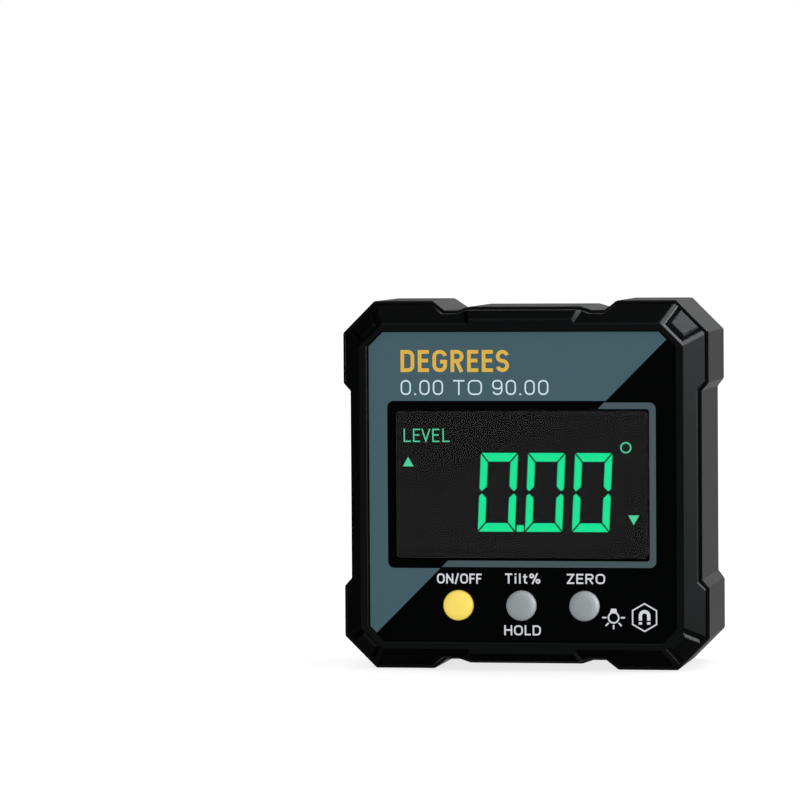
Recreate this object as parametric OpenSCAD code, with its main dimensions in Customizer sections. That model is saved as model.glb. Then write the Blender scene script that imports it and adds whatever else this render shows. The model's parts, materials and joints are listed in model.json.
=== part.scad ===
// Digital angle gauge: a square two-shell housing that stands on lugs at its corners, with a printed
// face panel, a display and three push buttons in front, and a battery bay with a sliding cover behind.
// X runs across the face, Y from the face to the back and Z up. The lugs rest on Z = 0.
// A length that ends in _f is a distance behind the front rim.

/* [Housing] */
// Width across the side lugs
gauge_w = 60; // [58:0.5:70]
// Height across the top and bottom lugs
gauge_h = 60; // [58:0.5:70]
// Depth from the front rim to the back face
body_d = 30; // [28:0.5:36]
// Wall thickness of both shells
wall = 2; // [1.8:0.1:2.4]
// Thickness of the front wall behind the face panel
front_wall = 1.6; // [1.4:0.1:2]
// Corner cut across the lugs, measured along a side
corner_cut = 5.2; // [4.6:0.1:6]

/* [Lugs] */
// Straight length of a lug on the left and right sides
side_lug = 8.2; // [6:0.1:11]
// Length of the ramp from a side lug into the recess
side_ramp = 1.3; // [0.8:0.1:2]
// Depth of the recess between the side lugs
side_recess = 1.15; // [0.6:0.05:1.4]
// Straight length of a lug on the top and bottom
end_lug = 9.7; // [9:0.1:11]
// Length of the ramp from an end lug into the notch
end_ramp = 2; // [1.2:0.1:2.5]
// Length of the notch floor
notch_floor = 2.1; // [1.5:0.1:3]
// Depth of the notch under the lug plane
notch_depth = 1.55; // [1.2:0.05:2]
// Length of the ramp from the notch up to the middle pad
pad_ramp = 1.8; // [1.2:0.1:2.4]
// Drop of the middle pad under the lug plane
pad_drop = 0.95; // [0.6:0.05:1.1]

/* [Shell joint] */
// Step from the rear shell in to the front shell
parting_step = 0.5; // [0.3:0.05:0.8]
// Open gap between the two shells
parting_gap = 0.4; // [0.2:0.05:0.8]
// Length of the tongue that locates the shells
tongue_len = 2.6; // [2:0.1:4]
// Thickness of the tongue
tongue_t = 1.2; // [1:0.1:1.5]
// Clearance of the tongue in the rear shell
tongue_clear = 0.15; // [0.1:0.05:0.3]
// Clearance between the screw posts of the two shells
post_gap = 0.1; // [0.05:0.05:0.3]

/* [Front bevel] */
// Width of the bevel from the lug plane in to the front rim
bevel_w = 3.6; // [2.8:0.1:4]
// Extra width of the bevel at the corners
corner_more = 0.4; // [0:0.05:0.8]
// Depth of the bevel
bevel_d = 4.8; // [4:0.1:6]
// Straight edge behind the bevel
front_edge = 0.3; // [0.2:0.1:0.8]
// Distance of the brow, the raised middle of the top and bottom bevels, from the ends of the middle pad
brow_in = 0.5; // [0.2:0.1:2]
// Flare of the brow on each side, from the rim out to the edge of the bevel
brow_flare = 1.5; // [0.5:0.1:2]
// Height of the brow over the bevel
brow_rise = 0.72; // [0.4:0.02:1]
// Width of the slope on each side of the brow
brow_slope = 0.3; // [0.2:0.05:0.8]
// Distance of the frame around a corner pad from the edges of its bevel
frame_edge = 0.06; // [0.05:0.01:0.2]
// Width of that frame along the sides of the bevel
frame_side = 0.85; // [0.6:0.05:1]
// Width of that frame along the rim
frame_rim = 1.05; // [0.8:0.05:1.3]
// Drop of that frame towards the pad
frame_drop = 0.13; // [0.06:0.01:0.2]
// Depth of the groove between the frame and the pad
groove_deep = 0.65; // [0.4:0.05:0.8]
// Lean of the groove's outer wall
groove_lean = 0.1; // [0.05:0.05:0.2]
// Width of the pad's slope in the groove along its sides
pad_side = 0.55; // [0.4:0.05:0.7]
// Width of the pad's slope in the groove along the rim
pad_rim = 0.9; // [0.6:0.05:1.1]
// Width and depth of the bevel around the back face
back_bevel = 2; // [1.4:0.1:2.4]

/* [Face panel] */
// Width of the flat rim around the panel
rim_w = 1.2; // [0.8:0.1:1.6]
// Depth of the panel's face under the rim
rim_lip = 0.4; // [0.2:0.05:0.6]
// Thickness of the panel
panel_t = 0.8; // [0.6:0.05:1.2]
// Corner cut of the panel, measured along a side
panel_cut = 2.4; // [1.6:0.1:3]
// Clearance around the panel
panel_clear = 0.1; // [0.05:0.05:0.2]

/* [Display] */
// Distance of the window from the sides of the housing
window_side = 9.05; // [8:0.05:11]
// Height of the window
window_h = 24.6; // [22:0.2:27]
// Height of the window's centre over the middle of the face
window_lift = 0.3; // [0:0.05:0.6]
// Corner radius of the window
window_r = 0.9; // [0.5:0.1:1.5]
// Thickness of the clear pane
lens_t = 1.25; // [1:0.05:1.6]
// Clearance around the clear pane
lens_clear = 0.05; // [0.03:0.01:0.1]
// Width of the ledge that carries the pane
lens_ledge = 0.35; // [0.25:0.05:0.5]
// Thickness of the ledge
ledge_t = 0.6; // [0.5:0.05:0.8]
// Border of the display glass past the ledge, left and right
lcd_side = 1.4; // [1:0.1:2]
// Border of the display glass past the ledge, above and below, for its contacts
lcd_contact = 2; // [1.6:0.1:2.4]
// Thickness of one of the two display glasses
lcd_glass_t = 1; // [0.7:0.05:1.1]
// Clearance around the display glass
lcd_clear = 0.15; // [0.1:0.05:0.3]
// Wall of the frame around the display glass
lcd_frame_t = 1; // [0.8:0.1:1.2]
// Diameter of the frame's pegs in the board
peg_d = 0.9; // [0.7:0.05:1]
// Height of the frame's pegs behind the board
peg_out = 0.6; // [0.3:0.1:1]
// Thickness of the two contact strips
strip_t = 1.2; // [1:0.1:1.4]
// Inset of the contact strips' ends from the display glass
strip_inset = 2; // [1:0.1:4]
// Room beside the light guide for its lamps
lamp_room = 1.6; // [1.4:0.1:2]

/* [Buttons] */
// Diameter of a button
button_d = 4.9; // [4:0.1:5.6]
// Distance of the outer buttons' axes from the sides of the window
button_side = 10.65; // [10.4:0.05:11.4]
// Distance of the buttons' axes under the window
button_gap = 7.25; // [6.6:0.05:7.6]
// Height of a button over the front rim
button_proud = 0.8; // [0.6:0.05:1.2]
// Radius of a button's edge
button_edge = 0.5; // [0.2:0.05:0.7]
// Clearance around a button
button_clear = 0.15; // [0.1:0.01:0.25]
// Flange of a button behind the front wall
button_flange = 0.7; // [0.5:0.05:0.8]
// Play of the flange behind the front wall
flange_play = 0.1; // [0.05:0.05:0.2]
// Play between a button and its switch
switch_play = 0.05; // [0.02:0.01:0.1]
// Width of a switch
switch_w = 5.2; // [4.5:0.1:6]
// Height of a switch on the board
switch_h = 1.9; // [1.7:0.05:2.1]
// Height of the plunger over its switch
plunger_out = 0.85; // [0.75:0.05:1]
// Diameter of the plunger
plunger_d = 3; // [2.4:0.1:3.6]
// Length of the plunger inside its switch
plunger_in = 0.8; // [0.6:0.05:0.9]
// Floor of the switch under its bore
switch_floor = 0.4; // [0.3:0.05:0.45]
// Clearance around the plunger
plunger_clear = 0.1; // [0.05:0.01:0.15]

/* [Board] */
// Gap from the front wall to the board
board_gap = 3.7; // [3.6:0.05:4]
// Thickness of the board
board_t = 1.2; // [0.8:0.1:1.6]
// Clearance around the board and its holes
board_clear = 0.3; // [0.2:0.05:0.5]
// Distance of the board's posts from the tongue at its sides
board_post_side = 8.4; // [8.2:0.1:9.6]
// Distance of the board's posts from the centre, up and down
board_post_z = 20.4; // [20:0.1:20.8]
// Diameter of the board's posts
board_post_d = 3.8; // [3.2:0.1:4.2]
// Width of the controller
chip_w = 7; // [5:0.5:10]
// Number of leads on each side of the controller
chip_leads = 8; // [4:1:12]
// Width of the tilt sensor
sensor_w = 4; // [3:0.5:6]
// Length of the crystal
crystal_len = 5; // [3:0.5:8]
// Number of capacitors in the row
capacitor_count = 4; // [2:1:6]

/* [Screws] */
// Diameter of a housing screw
screw_d = 2.2; // [1.8:0.1:2.6]
// Length of a housing screw under its head
screw_len = 8; // [6:0.5:10]
// Head diameter of a housing screw
screw_head_d = 4; // [3.6:0.1:4.4]
// Head height of a housing screw
screw_head_h = 1.6; // [1.2:0.1:2]
// Diameter of a board screw
board_screw_d = 1.6; // [1.4:0.1:1.8]
// Length of a board screw under its head
board_screw_len = 4; // [3:0.1:4.2]
// Head diameter of a board screw
board_head_d = 3; // [2.6:0.1:3.2]
// Head height of a board screw
board_head_h = 1; // [0.8:0.1:1.4]
// Clearance around a screw and its head
screw_clear = 0.1; // [0.05:0.05:0.2]
// Depth of the cross recess in a screw's head, as a share of the head
cross_share = 0.55; // [0.4:0.05:0.7]
// Diameter of a screw boss in the front shell
boss_d = 5; // [4.6:0.1:5.4]
// Length of a screw boss in the front shell
boss_len = 9; // [8:0.1:9.5]
// Distance of the screw bosses from the tongue
boss_inset = 3.2; // [3:0.1:3.4]
// Seat under a housing screw's head
seat_t = 2.4; // [1.6:0.1:3]
// Wall of the screw columns in the rear shell
column_wall = 1; // [0.8:0.1:1.2]

/* [Battery] */
// Diameter of a cell
cell_d = 10.5; // [10.2:0.1:10.8]
// Diameter of a cell's button
nub_d = 3.8; // [3:0.1:4.2]
// Length of a cell's button
nub_len = 1; // [0.8:0.1:1.4]
// Clearance around the cells
cell_clear = 0.3; // [0.2:0.05:0.5]
// Wall of the battery bay
bay_wall = 1.4; // [1.2:0.1:1.8]
// Distance of the bay's ends from the housing's inner walls
bay_side = 2.45; // [2:0.05:3]
// Thickness of a contact plate
contact_t = 0.4; // [0.3:0.05:0.6]
// Width of a contact plate
contact_w = 8.4; // [6:0.2:9]
// Width of a contact's tail
tail_w = 3; // [2:0.1:4]
// Length of a contact's tail in front of the bay
tail_out = 1.4; // [1:0.1:2]
// Length of a contact spring
spring_len = 3.6; // [3:0.1:4.2]
// Wire diameter of a contact spring
spring_wire = 0.6; // [0.5:0.05:0.8]
// Radius of a contact spring at its plate
spring_wide = 3.2; // [2.6:0.1:3.6]
// Radius of a contact spring at its cell
spring_narrow = 2; // [1.6:0.1:2.4]
// Number of turns of a contact spring
spring_turns = 3; // [2:0.5:4]
// Gap between a contact and its cell
contact_gap = 0.05; // [0.02:0.01:0.1]
// Diameter of a battery lead
lead_d = 1.1; // [0.8:0.1:1.4]
// Distance that a lead runs in towards the middle
lead_run = 4; // [3:0.1:5]

/* [Battery cover] */
// Overlap of the cover past the bay, above and below
cover_lap = 1.4; // [1.2:0.1:2]
// Width of the cover's runners
runner_w = 0.9; // [0.6:0.1:1.2]
// Thickness of the cover's runners
runner_t = 0.8; // [0.6:0.05:0.9]
// Clearance around the cover
cover_clear = 0.15; // [0.1:0.01:0.2]
// Wall past the bay at the cover's closed end
cover_end_lap = 0.7; // [0.5:0.1:1]
// Number of grip grooves in the cover
grip_count = 5; // [3:1:7]
// Distance between grip grooves
grip_pitch = 1.8; // [1.4:0.1:2.4]
// Width of a grip groove
grip_w = 0.9; // [0.6:0.1:1.1]
// Length of a grip groove
grip_len = 12; // [8:0.5:16]
// Depth of a grip groove
grip_deep = 0.5; // [0.3:0.05:0.7]
// Distance of the first grip groove from the cover's outer end
grip_start = 5; // [4:0.5:8]

/* [Magnets] */
// Diameter of a base magnet
magnet_d = 8; // [6:0.1:8.6]
// Thickness of a base magnet
magnet_t = 2.1; // [1.5:0.1:2.2]
// Plastic left under a base magnet
magnet_skin = 1.2; // [0.8:0.1:1.3]
// Distance between the magnets of one lug
magnet_pitch = 9; // [8.8:0.1:9.2]
// Clearance around a base magnet
magnet_clear = 0.1; // [0.05:0.05:0.15]

/* [Hidden] */
$fn = 64;

// Overlap of joined solids and overshoot of cuts
bond = 0.2;
cut = 1;

// The housing around its centre
half_w = gauge_w / 2;
half_h = gauge_h / 2;
mid_z = half_h;
front_y = (button_proud - body_d) / 2;
root2 = sqrt(2);
corner_reach = (half_w + half_h - corner_cut) / root2;
inner_half_w = half_w - side_recess - wall;
inner_half_h = half_h - notch_depth - wall;
inner_cut = inner_half_w + inner_half_h - (corner_reach - wall) * root2;
least_cut = 0.2;
tongue_in = tongue_clear + tongue_t;
pad_half = half_w - corner_cut - end_lug - end_ramp - notch_floor - pad_ramp;
brow_half = pad_half - brow_in;
bevel_angle = atan2(bevel_w - parting_step, bevel_d);
bevel_slope = norm([bevel_w - parting_step, bevel_d]);
corner_edge = (corner_cut + parting_step * (root2 - 2)) / root2;
corner_rim = (corner_cut + bevel_w * (root2 - 2)) / root2 + corner_more;
corner_angle = atan2(bevel_w + corner_more - parting_step, bevel_d);
corner_slope = norm([bevel_w + corner_more - parting_step, bevel_d]);
corner_lean = atan2(corner_edge - corner_rim, corner_slope);

// Stations behind the front rim
panel_seat_f = rim_lip + panel_t;
inner_f = panel_seat_f + front_wall;
lens_seat_f = rim_lip + lens_t;
lcd_f = lens_seat_f + ledge_t;
lcd_step_f = lcd_f + lcd_glass_t;
lcd_back_f = lcd_step_f + lcd_glass_t;
board_f = inner_f + board_gap;
board_back_f = board_f + board_t;
shell_end_f = bevel_d + front_edge;
rear_f = shell_end_f + parting_gap;
tongue_end_f = shell_end_f + tongue_len;
back_in_f = body_d - wall;
boss_end_f = inner_f + boss_len;
column_f = boss_end_f + post_gap;
seat_f = column_f + seat_t;
cell_f = back_in_f - cell_clear - cell_d / 2;
bay_floor_f = cell_f - cell_d / 2 - cell_clear;
bay_front_f = bay_floor_f - bay_wall;
tail_f = bay_front_f - tail_out;

// The face panel and the display
panel_half_w = half_w - bevel_w - rim_w;
panel_half_h = half_h - bevel_w - rim_w;
window_w = gauge_w - 2 * window_side;
ledge_w = window_w - 2 * lens_ledge;
ledge_h = window_h - 2 * lens_ledge;
lcd_w = ledge_w + 2 * lcd_side;
lcd_h = ledge_h + 2 * lcd_contact;
lcd_frame_w = lcd_w + 2 * (lcd_clear + lcd_frame_t);
lcd_frame_h = lcd_h + 2 * (lcd_clear + lcd_frame_t);
peg_x = (lcd_frame_w - lcd_frame_t) / 2;
peg_z = (lcd_frame_h - lcd_frame_t) / 2;
peg_clear = 0.1;
guide_clear = 0.2;
guide_h = ledge_h - 2 * guide_clear;
lamp_w = 0.9;
lamp_h = 3;
lamp_z = 6;

// The buttons and their switches
button_pitch = window_w / 2 - button_side;
button_z = window_lift - window_h / 2 - button_gap;
plunger_f = board_f - switch_h - plunger_out;
cap_f = plunger_f - switch_play;
flange_f = inner_f + flange_play;
plunger_end_f = board_f - switch_h + plunger_in;
switch_leg_w = 0.7;
switch_leg_out = 0.9;
switch_leg_t = 0.2;

// The board and its pieces
tongue_half_w = inner_half_w - tongue_in;
tongue_half_h = inner_half_h - tongue_in;
boss_x = tongue_half_w - boss_inset;
boss_z = tongue_half_h - boss_inset;
board_post_x = tongue_half_w - board_post_side;
chip_x = -0.28 * tongue_half_w;
chip_z = -4;
chip_t = 1.2;
chip_lead_w = 0.3;
chip_lead_out = 0.8;
chip_lead_t = 0.2;
chip_row = 0.84;
sensor_x = 0.32 * tongue_half_w;
sensor_t = 1;
crystal_x = chip_x;
crystal_z = 6;
crystal_d = 2;
capacitor_x = 0.16 * tongue_half_w;
capacitor_z = 9;
capacitor_pitch = 3.2;
capacitor_size = [1.6, 0.9, 0.8];

// The battery bay, its cells and its cover
bay_len = 2 * (inner_half_w - bay_side);
cell_len = bay_len - spring_len - 2 * (contact_t + contact_gap);
cell_z = (cell_d + cell_clear) / 2;
bay_h = 2 * cell_d + 3 * cell_clear;
cover_h = bay_h + 2 * cover_lap;
bay_block_h = cover_h + 2 * (runner_w + bay_wall);
cover_end = bay_len / 2 + cover_end_lap;
runner_f = back_in_f + (wall - runner_t) / 2;
column_d = screw_head_d + 2 * (screw_clear + column_wall);
contact_h = cell_d - 2 * cell_clear;
tail_clear = 0.15;
coil_steps = 16;
tube_sides = 8;
lead_steps = 14;
plate_x = bay_len / 2 - contact_t;

// The base magnets
magnet_x = half_w - corner_cut - end_lug / 2;
magnet_f = (tongue_end_f + back_in_f) / 2;

// Points of one quarter, from the top middle round to the right middle, copied to all four
function four_quarters(q) = concat(
    q,
    [for (i = [len(q) - 1:-1:0]) [q[i].x, -q[i].y]],
    [for (p = q) -p],
    [for (i = [len(q) - 1:-1:0]) [-q[i].x, q[i].y]]
);

// How far the ends of a ramp move along its side when the outline is inset
function ramp_shift(inset, rise, run) = inset * tan(atan2(rise, run) / 2);

// The housing's outline with its lugs, notches and middle pads, inset all round
function lug_outline(inset) =
    let (
        w = half_w - inset,
        h = half_h - inset,
        corner = corner_cut + inset * (root2 - 2),
        lug_end = half_w - corner_cut - end_lug,
        notch_end = lug_end - end_ramp,
        pad_start = notch_end - notch_floor,
        pad_in = ramp_shift(inset, notch_depth - pad_drop, pad_ramp),
        lug_in = ramp_shift(inset, notch_depth, end_ramp),
        side_in = ramp_shift(inset, side_recess, side_ramp),
        side_end = half_h - corner_cut - side_lug + side_in
    )
    four_quarters([
        [pad_half - pad_in, h - pad_drop],
        [pad_start - pad_in, h - notch_depth],
        [notch_end + lug_in, h - notch_depth],
        [lug_end + lug_in, h],
        [w - corner, h],
        [w, h - corner],
        [w, side_end],
        [w - side_recess, side_end - side_ramp]
    ]);

// A rectangle with cut corners
function cut_rect(w, h, corner) = four_quarters([[w - corner, h], [w, h - corner]]);

// The hollow of the rear shell, inset all round
function hollow(inset) = cut_rect(
    inner_half_w - inset, inner_half_h - inset, max(least_cut, inner_cut + inset * (root2 - 2))
);

// A rectangle with round corners, as the points of its four arcs
function round_rect(w, h, r, steps = 8) = four_quarters([
    for (i = [0:steps])
        let (a = 90 - 90 * i / steps) [w / 2 - r + r * cos(a), h / 2 - r + r * sin(a)]
]);

// Faces of a tube of rings that are joined one to the next, with both ends closed
function tube_faces(rings, sides) = concat(
    [[for (k = [0:sides - 1]) k]],
    [
        for (i = [0:rings - 2], k = [0:sides - 1])
            let (n = (k + 1) % sides)
            [i * sides + k, (i + 1) * sides + k, (i + 1) * sides + n, i * sides + n]
    ],
    [[for (k = [sides - 1:-1:0]) (rings - 1) * sides + k]]
);

// A flat shape in the plane of the face, given depth from one station to another
module layer(from_f, to_f) {
    translate([0, front_y + to_f, mid_z])
        rotate([90, 0, 0])
            linear_extrude(to_f - from_f)
                children();
}

// A section in depth and height, carried across from one place to another
module along_x(from_x, to_x) {
    translate([from_x, front_y, mid_z])
        rotate([90, 0, 90])
            linear_extrude(to_x - from_x)
                children();
}

// A block between two corners, each given as across, station and height from the centre
module block(low, high) {
    translate([low[0], front_y + low[1], mid_z + low[2]])
        cube(high - low);
}

module at_four(x, z) {
    for (i = [-1, 1], j = [-1, 1])
        translate([i * x, j * z])
            children();
}

module at_buttons() {
    for (i = [-1:1])
        translate([i * button_pitch, button_z])
            children();
}

// What a bevel takes off one side: all that lies outside the slope between two insets
module bevel_cut(turn, reach, rim_f, rim_in, edge_f, edge_in) {
    rim = [reach - rim_in, front_y + rim_f];
    edge = [reach - edge_in, front_y + edge_f];
    low = rim - (edge - rim);
    high = edge + (edge - rim);
    translate([0, 0, mid_z])
        rotate([0, -turn, 0])
            linear_extrude(gauge_w + gauge_h, center = true)
                polygon([low, high, [high.x, low.y]]);
}

module all_bevel_cuts(rim_f, rim_in, corner_in, edge_f, edge_in) {
    for (turn = [0:45:315])
        bevel_cut(turn, bevel_reach(turn), rim_f, turn % 90 == 45 ? corner_in : rim_in, edge_f, edge_in);
}

// Distance of a side, an end or a corner from the centre
function bevel_reach(turn) = turn % 90 == 45 ? corner_reach : turn % 180 == 90 ? half_h : half_w;

// Lays its children on the slope of a bevel: along its edge, up to the rim and out of the housing
module on_bevel(turn, angle) {
    translate([0, 0, mid_z])
        rotate([0, -turn, 0])
            translate([bevel_reach(turn) - parting_step, front_y + bevel_d, 0])
                rotate([0, 0, 180 - angle])
                    rotate([0, -90, 0])
                        children();
}

// All that lies inside a side which leans from a low to a high point over the slope of a bevel
module inside(low, high) {
    rotate([90, 0, 0])
        linear_extrude(4 * bevel_slope, center = true)
            polygon([[-gauge_w, low.y], low, high, [-gauge_w, high.y]]);
}

// All that lies inside the right side of a brow
module brow_side() {
    lift = brow_rise * cos(bevel_angle);
    translate([brow_half + brow_flare, 0, 0])
        rotate([0, 0, atan2(brow_flare, bevel_slope)])
            inside([brow_slope, -lift], [-2 * brow_slope, 2 * lift]);
}

// The front bevel all round, set back over the brows
module front_bevel_cuts() {
    difference() {
        all_bevel_cuts(0, bevel_w, bevel_w + corner_more, bevel_d, parting_step);
        for (turn = [90, 270])
            on_bevel(turn, bevel_angle)
                intersection() {
                    brow_side();
                    mirror([1, 0, 0]) brow_side();
                }
    }
    for (turn = [90, 270])
        bevel_cut(turn, half_h + brow_rise, 0, bevel_w, bevel_d, parting_step);
}

// All that lies inside one edge of a corner bevel: its side meets the bevel at an inset and leans in by run
// on its way down to a depth, or out where run is less than nothing
module corner_side(inset, run, deep) {
    inside([-inset - run, -deep], [-inset + run, deep]);
}

// A form within three edges of a corner bevel, open to the shell joint
module corner_form(side_inset, side_run, rim_inset, rim_run, deep) {
    intersection() {
        translate([corner_edge, 0, 0])
            rotate([0, 0, corner_lean])
                corner_side(side_inset, side_run, deep);
        translate([-corner_edge, 0, 0])
            rotate([0, 0, -corner_lean])
                mirror([1, 0, 0])
                    corner_side(side_inset, side_run, deep);
        translate([0, corner_slope, 0])
            rotate([0, 0, 90])
                corner_side(rim_inset, rim_run, deep);
    }
}

// What the frame and the groove take off around three sides of the pad on a corner bevel
module corner_groove() {
    side = frame_edge + frame_side;
    rim = frame_edge + frame_rim;
    difference() {
        union() {
            corner_form(frame_edge, frame_side, frame_edge, frame_rim, frame_drop);
            corner_form(side - groove_lean, groove_lean, rim - groove_lean, groove_lean, groove_deep);
        }
        corner_form(side + pad_side, -2 * pad_side, rim + pad_rim, -2 * pad_rim, 2 * groove_deep);
    }
}

// Lifts a flat shape from the middle of the face to the middle of the window
module at_window() {
    translate([0, window_lift])
        children();
}

module window_shape(inset) {
    at_window() polygon(round_rect(window_w - 2 * inset, window_h - 2 * inset, window_r - inset));
}

// Front shell: bevelled frame with lugs, a seat for the panel and pane, bosses and board posts
module front_shell() {
    color("#161719") {
        difference() {
            union() {
                difference() {
                    layer(0, shell_end_f) polygon(lug_outline(parting_step));
                    front_bevel_cuts();
                    for (turn = [45:90:315])
                        on_bevel(turn, corner_angle) corner_groove();
                }
                layer(shell_end_f - bond, tongue_end_f) polygon(hollow(tongue_clear));
            }
            layer(inner_f, tongue_end_f + cut) polygon(hollow(tongue_in));
            layer(-cut, panel_seat_f) polygon(cut_rect(panel_half_w, panel_half_h, panel_cut));
            layer(panel_seat_f - bond, lens_seat_f) window_shape(0);
            layer(lens_seat_f - bond, inner_f + bond) window_shape(lens_ledge);
            layer(lcd_f, inner_f + bond)
                at_window() square([lcd_w + 2 * lcd_clear, lcd_h + 2 * lcd_clear], center = true);
            layer(0, inner_f + bond) at_buttons() circle(d = button_d + 2 * button_clear);
        }
        difference() {
            layer(inner_f - bond, boss_end_f) at_four(boss_x, boss_z) circle(d = boss_d);
            layer(seat_f - screw_len - bond, boss_end_f + cut)
                at_four(boss_x, boss_z) circle(d = screw_d + 2 * screw_clear);
        }
        difference() {
            layer(inner_f - bond, board_f) at_four(board_post_x, board_post_z) circle(d = board_post_d);
            layer(board_back_f - board_screw_len - bond, board_f + cut)
                at_four(board_post_x, board_post_z) circle(d = board_screw_d + 2 * screw_clear);
        }
    }
}

// The rear shell's outer form with its lugs and the bevel around its back
module rear_form() {
    difference() {
        layer(rear_f, body_d) polygon(lug_outline(0));
        all_bevel_cuts(body_d, back_bevel, back_bevel, body_d - back_bevel, 0);
    }
}

// Section of the battery cover with its two runners, or of its slot when given a clearance
module cover_section(clear) {
    plate_h = cover_h + 2 * clear;
    runner_h = cover_h + 2 * (runner_w + clear);
    translate([back_in_f - clear, -plate_h / 2])
        square([wall + clear + (clear > 0 ? cut : 0), plate_h]);
    translate([runner_f - clear, -runner_h / 2])
        square([runner_t + 2 * clear, runner_h]);
}

module magnet_place(side, row, from_z, to_z, d) {
    translate([side * magnet_x, front_y + magnet_f + row * magnet_pitch / 2, from_z])
        cylinder(d = d, h = to_z - from_z);
}

// Rear shell: tub with lugs, battery bay, screw columns, magnet pockets and the cover's slot
module rear_shell() {
    color("#1b1c1e")
        difference() {
            union() {
                difference() {
                    rear_form();
                    layer(rear_f - cut, back_in_f) polygon(hollow(0));
                }
                layer(bay_front_f, back_in_f + bond)
                    square([2 * (inner_half_w + bond), bay_block_h], center = true);
                layer(column_f, back_in_f + bond) at_four(boss_x, boss_z) circle(d = column_d);
            }
            layer(bay_floor_f, body_d + cut) square([bay_len, bay_h], center = true);
            along_x(-half_w - cut, cover_end + cover_clear) cover_section(cover_clear);
            layer(seat_f, body_d + cut)
                at_four(boss_x, boss_z) circle(d = screw_head_d + 2 * screw_clear);
            layer(column_f - cut, seat_f + bond)
                at_four(boss_x, boss_z) circle(d = screw_d + 2 * screw_clear);
            for (side = [-1, 1], row = [-1, 1])
                magnet_place(
                    side, row, magnet_skin, mid_z - inner_half_h + bond, magnet_d + 2 * magnet_clear
                );
            for (end = [-1, 1])
                block(
                    [plate_x - tail_clear, bay_front_f - bond, end * cell_z - tail_w / 2 - tail_clear],
                    [bay_len / 2, bay_floor_f + bond, end * cell_z + tail_w / 2 + tail_clear]
                );
        }
}

// Face panel: flat sheet with cut corners, the window and the button holes
module face_panel() {
    color("#465b66")
        layer(rim_lip, panel_seat_f)
            difference() {
                polygon(cut_rect(panel_half_w - panel_clear, panel_half_h - panel_clear, panel_cut));
                window_shape(0);
                at_buttons() circle(d = button_d + 2 * button_clear);
            }
}

// Clear pane over the display, flush with the panel
module display_window() {
    color("#9fb4bc", 0.35)
        layer(rim_lip, lens_seat_f) window_shape(lens_clear);
}

// A button: round cap with a rolled edge and a flange that stops it behind the front wall
module button_cap(place) {
    height = cap_f + button_proud;
    flange_t = cap_f - flange_f;
    r = button_d / 2;
    edge_steps = 8;
    translate([place * button_pitch, front_y + cap_f, mid_z + button_z])
        rotate([90, 0, 0])
            rotate_extrude()
                polygon(concat(
                    [[0, 0], [r + button_flange, 0], [r + button_flange, flange_t], [r, flange_t]],
                    [
                        for (i = [0:edge_steps])
                            let (a = 90 * i / edge_steps)
                            [
                                r - button_edge + button_edge * cos(a),
                                height - button_edge + button_edge * sin(a)
                            ]
                    ],
                    [[0, height]]
                ));
}

module power_button() {
    color("#f2c14e") button_cap(-1);
}

module hold_button() {
    color("#8d9598") button_cap(0);
}

module zero_button() {
    color("#8d9598") button_cap(1);
}

module plunger(place) {
    color("#2a2b2d")
        layer(plunger_f, plunger_end_f)
            translate([place * button_pitch, button_z])
                circle(d = plunger_d);
}

module power_plunger() {
    plunger(-1);
}

module hold_plunger() {
    plunger(0);
}

module zero_plunger() {
    plunger(1);
}

// A switch on the board: square case with four legs and the plunger's bore
module switch_case(place) {
    x = place * button_pitch;
    leg_z = switch_w / 2 - switch_leg_w;
    color("#b9bdc0")
        difference() {
            union() {
                layer(board_f - switch_h, board_f)
                    translate([x, button_z])
                        square(switch_w, center = true);
                layer(board_f - switch_leg_t, board_f)
                    for (j = [-1, 1])
                        translate([x, button_z + j * leg_z])
                            square([switch_w + 2 * switch_leg_out, switch_leg_w], center = true);
            }
            layer(board_f - switch_h - cut, board_f - switch_floor)
                translate([x, button_z])
                    circle(d = plunger_d + 2 * plunger_clear);
        }
}

module power_switch() {
    switch_case(-1);
}

module hold_switch() {
    switch_case(0);
}

module zero_switch() {
    switch_case(1);
}

// Display glass: a front plate that carries the contacts and a shorter back plate
module lcd_glass() {
    color("#1f2123") {
        layer(lcd_f, lcd_step_f) at_window() square([lcd_w, lcd_h], center = true);
        layer(lcd_step_f - bond, lcd_back_f) at_window() square([lcd_w, ledge_h], center = true);
    }
}

// Frame around the display, with pegs through the board
module lcd_frame() {
    color("#d9dad6") {
        layer(inner_f, board_f)
            at_window()
                difference() {
                    square([lcd_frame_w, lcd_frame_h], center = true);
                    square([lcd_w + 2 * lcd_clear, lcd_h + 2 * lcd_clear], center = true);
                }
        layer(board_f - bond, board_back_f + peg_out)
            at_window() at_four(peg_x, peg_z) circle(d = peg_d);
    }
}

// Light guide behind the display, short at its left end for the lamps
module light_guide() {
    color("#f1f3ee")
        block(
            [lamp_room - lcd_w / 2, lcd_back_f, window_lift - guide_h / 2],
            [lcd_w / 2, board_f, window_lift + guide_h / 2]
        );
}

// Two lamps on the board that shine into the light guide
module backlight_lamps() {
    middle = (lamp_room - lcd_w) / 2;
    color("#f4f0c8")
        for (j = [-1, 1])
            let (z = window_lift + j * lamp_z)
            block(
                [middle - lamp_w / 2, lcd_back_f + guide_clear, z - lamp_h / 2],
                [middle + lamp_w / 2, board_f, z + lamp_h / 2]
            );
}

// Contact strip between the display's front plate and the board
module contact_strip(side) {
    z = window_lift + side * (lcd_h - lcd_contact) / 2;
    color("#c8706a")
        block(
            [strip_inset - lcd_w / 2, lcd_step_f, z - strip_t / 2],
            [lcd_w / 2 - strip_inset, board_f, z + strip_t / 2]
        );
}

module upper_strip() {
    contact_strip(1);
}

module lower_strip() {
    contact_strip(-1);
}

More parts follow.
